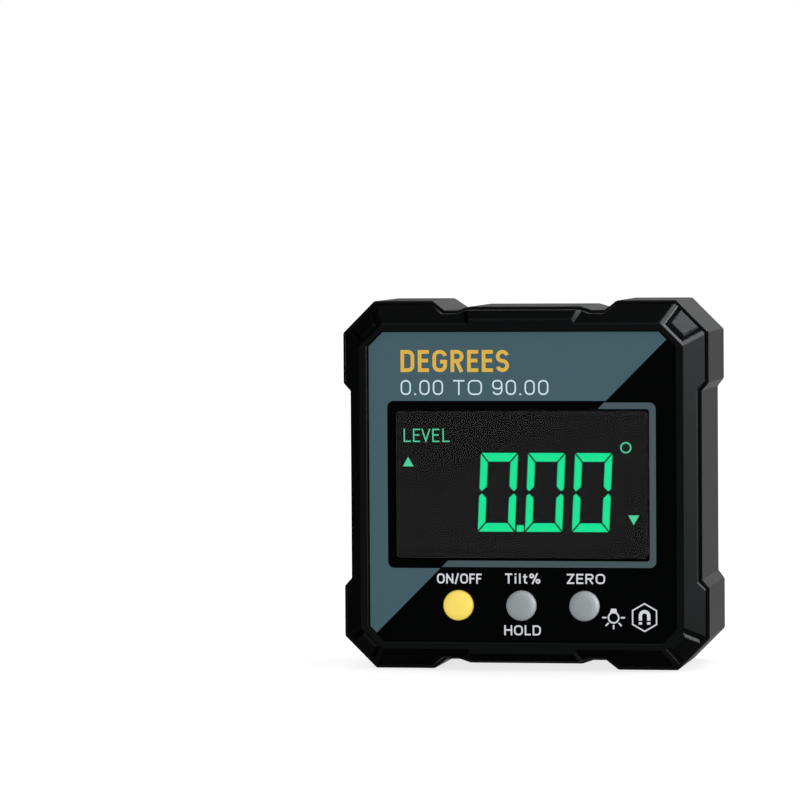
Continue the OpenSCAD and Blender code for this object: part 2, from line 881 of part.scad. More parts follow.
// Board with corners cut away for the screw bosses
module main_board() {
    corner_w = tongue_half_w - boss_x + boss_d / 2 + board_clear;
    corner_h = tongue_half_h - boss_z + boss_d / 2 + board_clear;
    color("#1d6b45")
        layer(board_f, board_back_f)
            difference() {
                square(2 * [tongue_half_w - board_clear, tongue_half_h - board_clear], center = true);
                at_four(tongue_half_w, tongue_half_h) square(2 * [corner_w, corner_h], center = true);
                at_four(board_post_x, board_post_z) circle(d = board_screw_d + 2 * screw_clear);
                at_window() at_four(peg_x, peg_z) circle(d = peg_d + 2 * peg_clear);
            }
}

// Controller: square case with a row of leads on each side
module controller() {
    pitch = chip_row * chip_w / chip_leads;
    color("#202225") {
        layer(board_back_f, board_back_f + chip_t)
            translate([chip_x, chip_z])
                square(chip_w, center = true);
        layer(board_back_f, board_back_f + chip_lead_t)
            translate([chip_x, chip_z])
                for (quarter = [0, 90], i = [0:chip_leads - 1])
                    rotate(quarter)
                        translate([0, (i - (chip_leads - 1) / 2) * pitch])
                            square([chip_w + 2 * chip_lead_out, chip_lead_w], center = true);
    }
}

module tilt_sensor() {
    color("#2b2d31")
        layer(board_back_f, board_back_f + sensor_t)
            translate([sensor_x, 0])
                square(sensor_w, center = true);
}

// Crystal in its can, lying on the board
module crystal() {
    color("#c3c7c9")
        translate([crystal_x - crystal_len / 2, 0, 0])
            along_x(0, crystal_len)
                translate([board_back_f, crystal_z - crystal_d / 2])
                    square(crystal_d);
}

module capacitors() {
    color("#b98f5b")
        for (i = [0:capacitor_count - 1])
            let (x = capacitor_x + i * capacitor_pitch)
            block(
                [x, board_back_f, capacitor_z],
                [x, board_back_f, capacitor_z] + [capacitor_size.x, capacitor_size.z, capacitor_size.y]
            );
}

// A pan head with a cross recess on a plain shank, its head at the given station
module screw(head_f, len, d, head_d, head_h) {
    slot_w = head_d / 5;
    slot_len = head_d * cross_share;
    difference() {
        union() {
            layer(head_f - len, head_f + bond) circle(d = d);
            layer(head_f, head_f + head_h) circle(d = head_d);
        }
        layer(head_f + head_h * (1 - cross_share), head_f + head_h + cut)
            for (quarter = [0, 90])
                rotate(quarter)
                    square([slot_len, slot_w], center = true);
    }
}

module board_screws() {
    color("#c9cccd")
        for (i = [-1, 1], j = [-1, 1])
            translate([i * board_post_x, 0, j * board_post_z])
                screw(board_back_f, board_screw_len, board_screw_d, board_head_d, board_head_h);
}

module housing_screws() {
    color("#3a3c3f")
        for (i = [-1, 1], j = [-1, 1])
            translate([i * boss_x, 0, j * boss_z])
                screw(seat_f, screw_len, screw_d, screw_head_d, screw_head_h);
}

// A cell with its button towards one end of the bay
module cell(side) {
    tip = plate_x - contact_gap;
    mirror([side < 0 ? 1 : 0, 0, 0]) {
        along_x(tip - cell_len, tip - nub_len)
            translate([cell_f, side * cell_z])
                circle(d = cell_d);
        along_x(tip - nub_len - bond, tip)
            translate([cell_f, side * cell_z])
                circle(d = nub_d);
    }
}

module upper_cell() {
    color("#3c4650") cell(1);
}

module lower_cell() {
    color("#3c4650") cell(-1);
}

// A contact plate at the right end of the bay, seated on the bay's floor
module contact_plate(low_z, high_z) {
    block([plate_x, bay_floor_f, low_z], [plate_x + contact_t, bay_floor_f + contact_h, high_z]);
}

module contact_tail(z) {
    block([plate_x, tail_f, z - tail_w / 2], [plate_x + contact_t, bay_floor_f + bond, z + tail_w / 2]);
}

// A cone-shaped coil from its plate to the cell: its radius shrinks and it climbs evenly with the turn
module contact_spring(z) {
    rings = round(spring_turns * coil_steps) + 1;
    climb = spring_len - spring_wire / 2 - contact_gap;
    wire = spring_wire / 2;
    points = [
        for (i = [0:rings - 1], k = [0:tube_sides - 1])
            let (
                t = i / (rings - 1),
                turn = 360 * spring_turns * t,
                round_wire = -360 * k / tube_sides,
                r = spring_wide + (spring_narrow - spring_wide) * t + wire * cos(round_wire)
            )
            [plate_x - climb * t + wire * sin(round_wire), r * cos(turn), r * sin(turn)]
    ];
    translate([0, front_y + cell_f, mid_z + z])
        polyhedron(points, tube_faces(rings, tube_sides));
}

// Left end: one plate across both cells, with the upper cell's spring
module bridge_contact() {
    color("#c9ccce")
        mirror([1, 0, 0]) {
            contact_plate(-cell_z - contact_w / 2, cell_z + contact_w / 2);
            contact_spring(cell_z);
        }
}

module positive_contact() {
    color("#c9ccce") {
        contact_plate(cell_z - contact_w / 2, cell_z + contact_w / 2);
        contact_tail(cell_z);
    }
}

module negative_contact() {
    color("#c9ccce") {
        contact_plate(-cell_z - contact_w / 2, -cell_z + contact_w / 2);
        contact_tail(-cell_z);
        contact_spring(-cell_z);
    }
}

// A lead from a contact's tail to the board: an S that leaves and arrives square to both
module lead(z) {
    start_x = plate_x + contact_t / 2;
    drop = board_back_f - tail_f;
    points = [
        for (i = [0:lead_steps], k = [0:tube_sides - 1])
            let (
                t = i / lead_steps,
                ease = t * t * (3 - 2 * t),
                slope = atan2(6 * t * (1 - t) * lead_run, -drop),
                turn = 360 * k / tube_sides,
                side = lead_d / 2 * cos(turn)
            )
            [
                start_x - lead_run * ease + side * cos(slope),
                tail_f + drop * t - side * sin(slope),
                lead_d / 2 * sin(turn)
            ]
    ];
    translate([0, front_y, mid_z + z])
        polyhedron(points, tube_faces(lead_steps + 1, tube_sides));
}

module positive_lead() {
    color("#b3261e") lead(cell_z);
}

module negative_lead() {
    color("#18191b") lead(-cell_z);
}

// Battery cover: plate with two runners, its outer end trimmed by the housing's own form
module battery_cover() {
    outer_end = side_recess + back_bevel - half_w;
    color("#1e1f21")
        difference() {
            intersection() {
                rear_form();
                along_x(-half_w - cut, cover_end) cover_section(0);
            }
            for (i = [0:grip_count - 1])
                let (x = outer_end + grip_start + i * grip_pitch)
                block([x, body_d - grip_deep, -grip_len / 2], [x + grip_w, body_d + cut, grip_len / 2]);
        }
}

module base_magnet(side, row) {
    color("#b8bcc0")
        magnet_place(side, row, magnet_skin, magnet_skin + magnet_t, magnet_d);
}

module left_front_magnet() {
    base_magnet(-1, -1);
}

module left_rear_magnet() {
    base_magnet(-1, 1);
}

module right_front_magnet() {
    base_magnet(1, -1);
}

module right_rear_magnet() {
    base_magnet(1, 1);
}

front_shell();
rear_shell();
face_panel();
display_window();
power_button();
hold_button();
zero_button();
power_plunger();
hold_plunger();
zero_plunger();
power_switch();
hold_switch();
zero_switch();
lcd_glass();
lcd_frame();
light_guide();
backlight_lamps();
upper_strip();
lower_strip();
main_board();
controller();
tilt_sensor();
crystal();
capacitors();
board_screws();
housing_screws();
upper_cell();
lower_cell();
bridge_contact();
positive_contact();
negative_contact();
positive_lead();
negative_lead();
battery_cover();
left_front_magnet();
left_rear_magnet();
right_front_magnet();
right_rear_magnet();
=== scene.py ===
import json
import math

import bmesh
import bpy
import numpy as np
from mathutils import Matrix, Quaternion, Vector


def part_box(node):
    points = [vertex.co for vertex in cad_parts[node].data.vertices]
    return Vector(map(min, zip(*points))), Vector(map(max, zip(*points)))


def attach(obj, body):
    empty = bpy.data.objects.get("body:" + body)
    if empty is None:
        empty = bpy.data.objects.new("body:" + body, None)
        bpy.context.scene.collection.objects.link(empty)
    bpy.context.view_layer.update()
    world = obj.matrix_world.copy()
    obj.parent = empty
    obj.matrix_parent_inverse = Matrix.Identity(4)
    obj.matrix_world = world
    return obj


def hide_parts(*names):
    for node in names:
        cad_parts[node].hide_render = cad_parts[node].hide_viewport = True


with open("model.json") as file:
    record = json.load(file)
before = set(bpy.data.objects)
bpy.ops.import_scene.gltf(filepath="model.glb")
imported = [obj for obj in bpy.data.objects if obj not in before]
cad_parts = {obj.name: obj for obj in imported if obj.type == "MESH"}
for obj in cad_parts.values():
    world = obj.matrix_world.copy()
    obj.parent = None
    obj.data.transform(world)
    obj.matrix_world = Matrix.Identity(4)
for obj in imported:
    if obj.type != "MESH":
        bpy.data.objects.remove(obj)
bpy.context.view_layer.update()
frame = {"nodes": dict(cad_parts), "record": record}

# The looks of a digital angle gauge. Lengths named in mm are turned to metres by MM. Across and up are
# measured from the centre of the face. A print lies a hair in front of the sheet that carries it, and each
# of its strokes a layer in front of the stroke before.
MM = 0.001
HAIR = 0.02
LAYER = 0.0005
NODES = frame["nodes"]
NODE_SLOT = {row["node"]: row["material_slot"] for row in frame["record"]["subparts"]}

shell_low, shell_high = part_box("rear_shell")
panel_low, panel_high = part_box("face_panel")
pane_low, pane_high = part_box("display_window")
FACE_Z = (shell_low.z + shell_high.z) / 2 / MM
GAUGE_MIDDLE = Vector((0, 0, FACE_Z * MM))
PANEL_Y = panel_low.y / MM
PANEL_HALF_W = panel_high.x / MM
PANEL_HALF_H = (panel_high.z - panel_low.z) / 2 / MM
PANE_Z = (pane_low.z + pane_high.z) / 2 / MM - FACE_Z
PANE_HALF_W = pane_high.x / MM
PANE_HALF_H = (pane_high.z - pane_low.z) / 2 / MM
GLASS_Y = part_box("lcd_glass")[0].y / MM


def tone(code):
    """The linear colour of a hex code."""
    parts = np.array([int(code[i:i + 2], 16) for i in (1, 3, 5)]) / 255
    linear = np.where(parts > 0.04045, ((parts + 0.055) / 1.055) ** 2.4, parts / 12.92)
    return tuple(linear.tolist())


def finish_of(
    name, colour, rough, metal=0.0, sheen=0.5, tint=(1, 1, 1),
    grain=0.0, depth=0.0, mottle=0.0, glow=0.0, light=None,
):
    """A surface finish. sheen is the strength of its gloss and tint the gloss's colour; grain is the size in
    mm of a fine moulded texture, depth its height in mm and mottle how far the roughness wanders; glow is
    the light that it gives off by itself, in its own colour or that of light."""
    made = bpy.data.materials.new(name)
    made.use_nodes = True
    nodes, links = made.node_tree.nodes, made.node_tree.links
    skin = nodes["Principled BSDF"]
    skin.inputs["Base Color"].default_value = (*colour, 1)
    skin.inputs["Roughness"].default_value = rough
    skin.inputs["Metallic"].default_value = metal
    skin.inputs["Specular IOR Level"].default_value = sheen
    skin.inputs["Specular Tint"].default_value = (*tint, 1)
    if glow:
        skin.inputs["Emission Color"].default_value = (*(light or colour), 1)
        skin.inputs["Emission Strength"].default_value = glow
    if grain:
        place = nodes.new("ShaderNodeTexCoord")
        cloud = nodes.new("ShaderNodeTexNoise")
        cloud.inputs["Scale"].default_value = 1 / (grain * MM)
        cloud.inputs["Detail"].default_value = 2.0
        links.new(place.outputs["Object"], cloud.inputs["Vector"])
        relief = nodes.new("ShaderNodeBump")
        relief.inputs["Strength"].default_value = 1.0
        relief.inputs["Distance"].default_value = depth * MM
        links.new(cloud.outputs["Fac"], relief.inputs["Height"])
        links.new(relief.outputs["Normal"], skin.inputs["Normal"])
        if mottle:
            spread = nodes.new("ShaderNodeMapRange")
            spread.inputs["To Min"].default_value = rough - mottle
            spread.inputs["To Max"].default_value = rough + mottle
            links.new(cloud.outputs["Fac"], spread.inputs["Value"])
            links.new(spread.outputs["Result"], skin.inputs["Roughness"])
    return made


def clear_finish(name, colour, ior):
    """A clear polished finish."""
    made = finish_of(name, colour, 0.0)
    skin = made.node_tree.nodes["Principled BSDF"]
    skin.inputs["Transmission Weight"].default_value = 1.0
    skin.inputs["IOR"].default_value = ior
    return made


def lit_finish(name, code):
    """A sign or field of the display that only gives off light."""
    return finish_of(name, (0, 0, 0), 0.6, sheen=0.0, glow=1.0, light=tone(code))


MOULDED_BLACK = finish_of(
    "moulded_black", (0.001, 0.001, 0.0011), 0.36, tint=(0.88, 0.95, 1), grain=0.11, depth=0.002, mottle=0.04,
)
PRINT_BLACK = finish_of("print_black", (0.0006, 0.0008, 0.0009), 0.30, sheen=0.06)
PRINT_BLUE = finish_of("print_blue", tone("#3f5b64"), 0.42, sheen=0.2, grain=0.2, depth=0.0008)
PRINT_STRIPE = finish_of("print_stripe", tone("#43555b"), 0.42, sheen=0.2)
PRINT_WHITE = finish_of("print_white", tone("#cfd3d8"), 0.5, sheen=0.2)
PRINT_PALE = finish_of("print_pale", tone("#c8dfe9"), 0.5, sheen=0.2)
PRINT_AMBER = finish_of("print_amber", tone("#d9ae45"), 0.5, sheen=0.2)
CLEAR_PANE = clear_finish("clear_pane", (1, 1, 1), 1.2)
DISPLAY_BORDER = finish_of("display_border", (0.001, 0.001, 0.0012), 0.3, sheen=0.1)
DISPLAY_FIELD = lit_finish("display_field", "#0b0b0b")
DISPLAY_GREEN = lit_finish("display_green", "#10e393")
DISPLAY_PALE = lit_finish("display_pale", "#4fce9e")
CAP_YELLOW = finish_of("cap_yellow", tone("#f8db5a"), 0.5, sheen=0.7)
CAP_GREY = finish_of("cap_grey", tone("#899092"), 0.5, sheen=0.8)

SLOT_FINISH = {
    "pane": CLEAR_PANE,
    "panel": PRINT_BLACK,
    "display": DISPLAY_BORDER,
    "plunger": finish_of("plunger_dark", (0.02, 0.02, 0.022), 0.45),
    "switch": finish_of(
        "switch_plating", (0.6, 0.61, 0.62), 0.3, metal=1.0, grain=0.3, depth=0.002, mottle=0.08,
    ),
    "white_plastic": finish_of("guide_white", (0.78, 0.78, 0.75), 0.45),
    "lamp": finish_of("lamp_resin", (0.9, 0.86, 0.5), 0.2, glow=0.4),
    "strip": finish_of("strip_rubber", (0.5, 0.15, 0.13), 0.7, grain=0.25, depth=0.01),
    "board": finish_of("board_lacquer", (0.012, 0.11, 0.05), 0.25, grain=0.6, depth=0.004, mottle=0.06),
    "chip": finish_of("chip_black", (0.012, 0.012, 0.014), 0.5, grain=0.12, depth=0.004),
    "can": finish_of("crystal_can", (0.66, 0.67, 0.68), 0.25, metal=1.0),
    "ceramic": finish_of("capacitor_ceramic", (0.38, 0.23, 0.1), 0.55),
    "screw": finish_of(
        "screw_zinc", (0.5, 0.51, 0.53), 0.32, metal=1.0, grain=0.2, depth=0.003, mottle=0.1,
    ),
    "cell": finish_of("cell_sleeve", (0.03, 0.05, 0.075), 0.28, grain=1.5, depth=0.004),
    "contact": finish_of(
        "contact_nickel", (0.7, 0.69, 0.66), 0.25, metal=1.0, grain=0.4, depth=0.002, mottle=0.08,
    ),
    "red_lead": finish_of("lead_red", (0.42, 0.016, 0.012), 0.45),
    "black_lead": finish_of("lead_black", (0.008, 0.008, 0.009), 0.45),
    "magnet": finish_of("magnet_nickel", (0.6, 0.59, 0.58), 0.18, metal=1.0),
}


def show_piece(name, mesh, finish, body):
    """A mesh shown as a named piece in one finish, resting in the row frame and riding on its body."""
    mesh.materials.clear()
    mesh.materials.append(finish)
    piece = bpy.data.objects.new(name, mesh)
    bpy.context.scene.collection.objects.link(piece)
    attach(piece, body)
    return piece


def mesh_of(name, points, faces, smooth=False):
    """A mesh from points in metres and the faces between them."""
    mesh = bpy.data.meshes.new(name)
    mesh.from_pydata(points.tolist(), [], faces)
    mesh.validate()
    mesh.polygons.foreach_set("use_smooth", [smooth] * len(mesh.polygons))
    return mesh


def on_sheet(across, up, y):
    """Points of a flat print from places across and up, in mm, at depth y, which may differ from place to
    place."""
    return np.stack([across, np.broadcast_to(y, across.shape), up + FACE_Z], -1) * MM


def ruled_faces(count, first=0, closed=False):
    """Quads of a ruled sheet: row i of one edge joined to row i of the other and to the next rows."""
    i = np.arange(count if closed else count - 1)
    n = (i + 1) % count
    return (np.stack([i, n, n + count, i + count], -1) + first).tolist()


def ruled_sheets(pairs):
    """Flat sheets, each ruled between two edges a and b: P(u, v) = (1 - v) a(u) + v b(u). Every pair is
    (a, b, closed) with as many places in a as in b. The result is the places, their layers and the quads of
    them all. The layer counts the sheets, so that crossing strokes never lie in one plane."""
    places, layers, faces, first = [], [], [], 0
    for layer, (a, b, closed) in enumerate(pairs):
        a, b = np.asarray(a, float), np.asarray(b, float)
        faces += ruled_faces(len(a), first, closed)
        places += [a, b]
        layers += [layer] * (2 * len(a))
        first += 2 * len(a)
    return np.concatenate(places), np.array(layers), faces


# The least cosine that a mitre is stretched by, so that sharp turns get no long tips, and the degrees to a
# step of a letter's turns
LEAST_MITRE = 0.3
TURN_STEP = 15


def stroke(path, width, closed=False):
    """The two edges of a stroke: the path moved half the width to each side along the mitre of its
    neighbouring runs."""
    p = np.asarray(path, float)
    run = np.roll(p, -1, 0) - p
    if not closed:
        run[-1] = run[-2]
    run /= np.linalg.norm(run, axis=1, keepdims=True)
    before = np.roll(run, 1, 0)
    if not closed:
        before[0] = run[0]
    side = np.stack([-run[:, 1] - before[:, 1], run[:, 0] + before[:, 0]], -1)
    side /= np.linalg.norm(side, axis=1, keepdims=True)
    side /= np.maximum(LEAST_MITRE, side[:, :1] * -run[:, 1:] + side[:, 1:] * run[:, :1])
    return p - side * width / 2, p + side * width / 2, closed


def arc(centre, r, start, stop, count):
    """Places on an arc: centre + r (cos a, sin a), with a from start to stop in degrees."""
    a = np.radians(np.linspace(start, stop, count))
    return np.stack([centre[0] + r * np.cos(a), centre[1] + r * np.sin(a)], -1)


def circle(centre, r, count):
    """Places on a whole circle: an arc that stops one step before it meets its start."""
    return arc(centre, r, 0, 360 - 360 / count, count)


def print_piece(name, pairs, y, finish):
    """One print of ruled sheets on the sheet at depth y."""
    places, layers, faces = ruled_sheets(pairs)
    points = on_sheet(places[:, 0], places[:, 1], y - layers * LAYER)
    return show_piece(name, mesh_of(name, points, faces), finish, "housing")


def turn_of(centre, r, start, stop):
    """A turn of a letter's stroke as a list of places: an arc with a step for every TURN_STEP degrees and
    two to spare."""
    return arc(centre, r, start, stop, 3 + int(abs(stop - start) / TURN_STEP)).tolist()


def letter(sign, w, t):
    """The strokes of one letter in a box of width w and height 1, drawn with a pen of width t: each is a path
    of places and whether it closes. The paths keep half a pen inside the box."""
    left, right, low, top = t / 2, w - t / 2, t / 2, 1 - t / 2
    corner_r = min(0.46 * (right - left), 0.3)
    bowl_r = (top - low) / 4
    small_r = min(bowl_r, 0.48 * (right - left))

    def turn_at(side, end, start, stop, r=corner_r):
        """A turn inside a corner of the box: side is 1 at the right and end 1 at the top, or else -1."""
        across = right - r if side > 0 else left + r
        up = top - r if end > 0 else low + r
        return turn_of((across, up), r, start, stop)

    right_bow = turn_at(1, -1, -90, 0) + turn_at(1, 1, 0, 90)
    ring = right_bow + turn_at(-1, 1, 90, 180) + turn_at(-1, -1, 180, 270)
    left_post = ([(left, 0), (left, 1)], False)
    right_post = ([(right, 0), (right, 1)], False)
    strokes = {
        "D": [([(left, low)] + right_bow + [(left, top)], True)],
        "E": [
            ([(w, top), (left, top), (left, low), (w, low)], False),
            ([(left, 0.52), (w * 0.92, 0.52)], False),
        ],
        "F": [([(w, top), (left, top), (left, 0)], False), ([(left, 0.5), (w * 0.9, 0.5)], False)],
        "G": [(
            turn_at(1, 1, 12, 90) + turn_at(-1, 1, 90, 180) + turn_at(-1, -1, 180, 270)
            + turn_at(1, -1, 270, 345) + [(right, 0.47), (w * 0.52, 0.47)],
            False,
        )],
        "H": [left_post, right_post, ([(left, 0.52), (right, 0.52)], False)],
        "L": [([(left, 1), (left, low), (w, low)], False)],
        "N": [left_post, right_post, ([(left, 1 - 0.6 * t), (right, 0.6 * t)], False)],
        "O": [(ring, True)],
        "R": [
            left_post,
            ([(left, top)] + turn_at(1, 1, 90, -90, bowl_r) + [(left, top - 2 * bowl_r)], False),
            ([(w * 0.45, top - 2 * bowl_r), (w - 0.55 * t, 0)], False),
        ],
        "S": [(
            turn_of((right - small_r, top - bowl_r), bowl_r, 15, 90)
            + turn_of((left + small_r, top - bowl_r), bowl_r, 90, 270)
            + turn_of((right - small_r, low + bowl_r), bowl_r, 90, -90)
            + turn_of((left + small_r, low + bowl_r), bowl_r, 270, 195),
            False,
        )],
        "T": [([(0, top), (w, top)], False), ([(w / 2, top), (w / 2, 0)], False)],
        "Z": [
            ([(0, top), (w, top)], False),
            ([(0, low), (w, low)], False),
            ([(w - 0.6 * t, top), (0.6 * t, low)], False),
        ],
        "0": [(ring, True)],
        "9": [
            (
                turn_at(1, 1, 0, 90, small_r) + turn_at(-1, 1, 90, 180, small_r)
                + turn_of((left + small_r, 0.42 + small_r), small_r, 180, 270)
                + turn_of((right - small_r, 0.42 + small_r), small_r, 270, 360),
                True,
            ),
            ([(right, 0.6)] + turn_at(1, -1, 0, -90) + turn_at(-1, -1, 270, 200), False),
        ],
        ".": [([(0, t / 2), (w, t / 2)], False)],
        "/": [([(0.3 * t, -0.03), (w - 0.3 * t, 1.03)], False)],
        "i": [([(w / 2, 0), (w / 2, 0.72)], False), ([(w / 2, 0.84), (w / 2, 1)], False)],
        "l": [([(w / 2, 0), (w / 2, 1)], False)],
        "t": [
            ([(w * 0.42, 0.94)] + turn_of((w * 0.42 + 0.14, low + 0.14), 0.14, 180, 270) + [(w, low)], False),
            ([(0, 0.67), (w, 0.67)], False),
        ],
        "%": [
            (circle((w * 0.22, 0.76), 0.165, 24).tolist(), True),
            (circle((w * 0.78, 0.24), 0.165, 24).tolist(), True),
            ([(w * 0.27, -0.02), (w * 0.73, 1.02)], False),
        ],
    }
    return strokes.get(sign, [])


# Widths of the letters as parts of their height, and the width of a figure
LETTER_W = {
    "D": 0.72, "E": 0.58, "F": 0.54, "G": 0.76, "H": 0.7, "L": 0.54, "N": 0.72, "O": 0.78, "R": 0.68,
    "S": 0.62, "T": 0.62, "Z": 0.62, "i": 0.2, "l": 0.2, "t": 0.36, "%": 0.95, "/": 0.4, ".": 0.11, " ": 0.2,
}
FIGURE_W = 0.56


def word_piece(name, words, box, y, finish, pen, gap):
    """A word in plain letters that fills a box on the panel, given as left, right, low and high in mm. The
    letters share its width by their own widths; pen and gap are parts of the height."""
    left, right, low, high = box
    size = high - low
    widths = np.array([LETTER_W.get(sign, FIGURE_W) for sign in words])
    share = ((right - left) / size - gap * (len(words) - 1)) / widths.sum()
    pairs, at = [], left
    for sign, width in zip(words, widths * share):
        for path, closed in letter(sign, width, pen):
            pairs.append(stroke(np.array(path) * size + (at, low), pen * size, closed))
        at += (width + gap) * size
    return print_piece(name, pairs, y, finish)


# How a moulding is eased: points that are one within JOIN_GAP, faces that are flat within FLAT_ANGLE, outer
# corners that become one within WELD_GAP, and edges that are sharp past SHARP_ANGLE and long past SHORT_EDGE
JOIN_GAP = 0.002
FLAT_ANGLE = math.radians(0.4)
WELD_GAP = 0.095
SHARP_ANGLE = math.radians(18)
SHORT_EDGE = 0.6


def weld_close_corners(bm, corners):
    """Makes one of the corners that lie closer than WELD_GAP, where the larger faces meet."""
    span = {v: sum(f.calc_area() for f in v.link_faces) for v in corners}
    weld = {}
    for pair in bmesh.ops.find_doubles(bm, verts=corners, dist=WELD_GAP * MM)["targetmap"].items():
        small, large = sorted(pair, key=span.get)
        weld[small] = large
    for small in weld:
        while weld[small] in weld:
            weld[small] = weld[weld[small]]
    bmesh.ops.weld_verts(bm, targetmap=weld)


def moulded_copy(node, name, edge, outside, body):
    """A merged copy of a CAD node whose outer long edges are rounded by edge, in mm, in two steps. Faces
    narrower than edge keep their sharp edges."""
    bm = bmesh.new()
    bm.from_mesh(NODES[node].data)
    bmesh.ops.remove_doubles(bm, verts=bm.verts, dist=JOIN_GAP * MM)
    bmesh.ops.dissolve_limit(bm, angle_limit=FLAT_ANGLE, verts=bm.verts, edges=bm.edges)
    weld_close_corners(bm, [v for v in bm.verts if outside(v.co / MM)])
    narrow = {f for f in bm.faces if 2 * f.calc_area() / f.calc_perimeter() < edge * MM}
    sharp = [
        e for e in bm.edges
        if e.is_manifold and e.is_convex and e.calc_face_angle(0) > SHARP_ANGLE
        and e.calc_length() > SHORT_EDGE * MM and all(outside(v.co / MM) for v in e.verts)
        and not narrow.intersection(e.link_faces)
    ]
    bmesh.ops.bevel(
        bm, geom=sharp, offset=edge * MM, offset_type="OFFSET", segments=2, profile=0.5,
        affect="EDGES", clamp_overlap=False,
    )
    mesh = bpy.data.meshes.new(name)
    bm.to_mesh(mesh)
    bm.free()
    piece = show_piece(name, mesh, MOULDED_BLACK, body)
    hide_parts(node)
    return piece


# A button's flange, and the rolled edge and low dome of its cap, in mm, with the places along the roll, the
# dome and the turn. Points at the poles are one within POLE_GAP, and edges are creased past CREASE_ANGLE
FLANGE_OUT, FLANGE_T = 0.7, 0.4
ROLL_IN, ROLL_FALL, DOME = 1.35, 0.9, 0.05
ROLL_STEPS, DOME_STEPS, CAP_STEPS = 13, 8, 96
POLE_GAP = 0.0001
CREASE_ANGLE = math.radians(40)


def turned_cap(node, name, finish, body):
    """A button turned about its axis: P(t, a) = axis + r(t) (cos a, sin a) at station y(t), where the
    profile runs from the back out to the flange, up the side, round an elliptical edge and in over a low
    dome."""
    low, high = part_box(node)
    x, z = (low.x + high.x) / 2 / MM, (low.z + high.z) / 2 / MM
    front, back = low.y / MM, high.y / MM
    flange = (high.x - low.x) / 2 / MM
    r = flange - FLANGE_OUT
    flat = r - ROLL_IN
    turn = np.radians(np.linspace(0, 90, ROLL_STEPS))
    roll_y = front + DOME + ROLL_FALL - ROLL_FALL * np.sin(turn)
    rolled = np.stack([flat + ROLL_IN * np.cos(turn), roll_y], -1)
    inner = np.linspace(flat, 0, DOME_STEPS)[1:]
    top = np.stack([inner, front + DOME * (inner / flat) ** 2], -1)
    foot = [[0.0, back], [flange, back], [flange, back - FLANGE_T], [r, back - FLANGE_T]]
    profile = np.concatenate([foot, rolled, top])
    a = np.linspace(0, 2 * np.pi, CAP_STEPS, endpoint=False)
    rr, aa = np.meshgrid(profile[:, 0], a, indexing="ij")
    yy = np.repeat(profile[:, 1:], len(a), 1)
    points = np.stack([x + rr * np.cos(aa), yy, z + rr * np.sin(aa)], -1).reshape(-1, 3) * MM
    i, j = np.meshgrid(np.arange(len(profile) - 1) * len(a), np.arange(len(a)), indexing="ij")
    n = (j + 1) % len(a)
    faces = np.stack([i + j, i + len(a) + j, i + len(a) + n, i + n], -1).reshape(-1, 4).tolist()
    mesh = mesh_of(name, points, faces, smooth=True)
    bm = bmesh.new()
    bm.from_mesh(mesh)
    bmesh.ops.remove_doubles(bm, verts=bm.verts, dist=POLE_GAP * MM)
    bmesh.ops.recalc_face_normals(bm, faces=bm.faces)
    for e in bm.edges:
        e.smooth = e.calc_face_angle(0) < CREASE_ANGLE
    bm.to_mesh(mesh)
    bm.free()
    piece = show_piece(name, mesh, finish, body)
    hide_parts(node)
    return piece


# The shells and the cover, with their edges eased as a mould leaves them. A shell's outside lies past a
# reach across or up, or past a reach over a corner, and the cover's outside behind a depth, all in mm
SHELL_EDGE, COVER_EDGE = 0.2, 0.15
FRONT_REACH, FRONT_CORNER = 25.1, 47.5
REAR_REACH, REAR_CORNER = 27.2, 50
COVER_DEPTH = 13.2


def past_reach(p, reach, corner):
    """Whether a point lies outside a square of the given reach with its corners cut."""
    across, up = abs(p.x), abs(p.z - FACE_Z)
    return max(across, up) > reach or across + up > corner


def front_outside(p):
    """Whether a point of the front shell lies on its outside."""
    return past_reach(p, FRONT_REACH, FRONT_CORNER)


def rear_outside(p):
    """Whether a point of the rear shell lies on its outside."""
    return past_reach(p, REAR_REACH, REAR_CORNER)


def cover_outside(p):
    """Whether a point of the cover lies on its outside."""
    return p.y > COVER_DEPTH


front = moulded_copy("front_shell", "front_shell_moulded", SHELL_EDGE, front_outside, "housing")
moulded_copy("rear_shell", "rear_shell_moulded", SHELL_EDGE, rear_outside, "housing")
moulded_copy("battery_cover", "battery_cover_moulded", COVER_EDGE, cover_outside, "cover")
caps = [
    turned_cap("power_button", "power_cap", CAP_YELLOW, "power_key"),
    turned_cap("hold_button", "hold_cap", CAP_GREY, "hold_key"),
    turned_cap("zero_button", "zero_cap", CAP_GREY, "zero_key"),
]

for node, slot in NODE_SLOT.items():
    if slot in SLOT_FINISH:
        materials = NODES[node].data.materials
        materials.clear()
        materials.append(SLOT_FINISH[slot])

# The panel's print: a blue-grey field up to the diagonal, and a stripe round the pane past it. The field keeps
# a gap to the panel's edges and has cut corners. Its hole is set against the stripe's outer edge: inside it at
# the left, and outside it below and above. SIDE_LEAD is how far the even places of the field's left edge go on
# above the stripe's lower edge, and TOP_LEAD the last run of the hole's upper edge
PRINT_Y = PANEL_Y - HAIR
PANE_GAP, STRIPE_W, STRIPE_R, STRIPE_INNER_R = 0.05, 1.05, 1.05, 0.5
FIELD_SIDE_GAP, FIELD_END_GAP, FIELD_CUT = 0.25, 0.05, 2.3
HOLE_SIDE_IN, HOLE_LOW_OUT, HOLE_TOP_OUT = 0.15, 0.2, 0.25
SIDE_LEAD, TOP_LEAD = 1.0, 0.6
CORNER_STEPS = 12
edge_w, edge_h = PANE_HALF_W + PANE_GAP, PANE_HALF_H + PANE_GAP
edge_low, edge_high = PANE_Z - edge_h, PANE_Z + edge_h
ring_w, ring_h = edge_w + STRIPE_W, edge_h + STRIPE_W
ring_low, ring_high = PANE_Z - ring_h, PANE_Z + ring_h
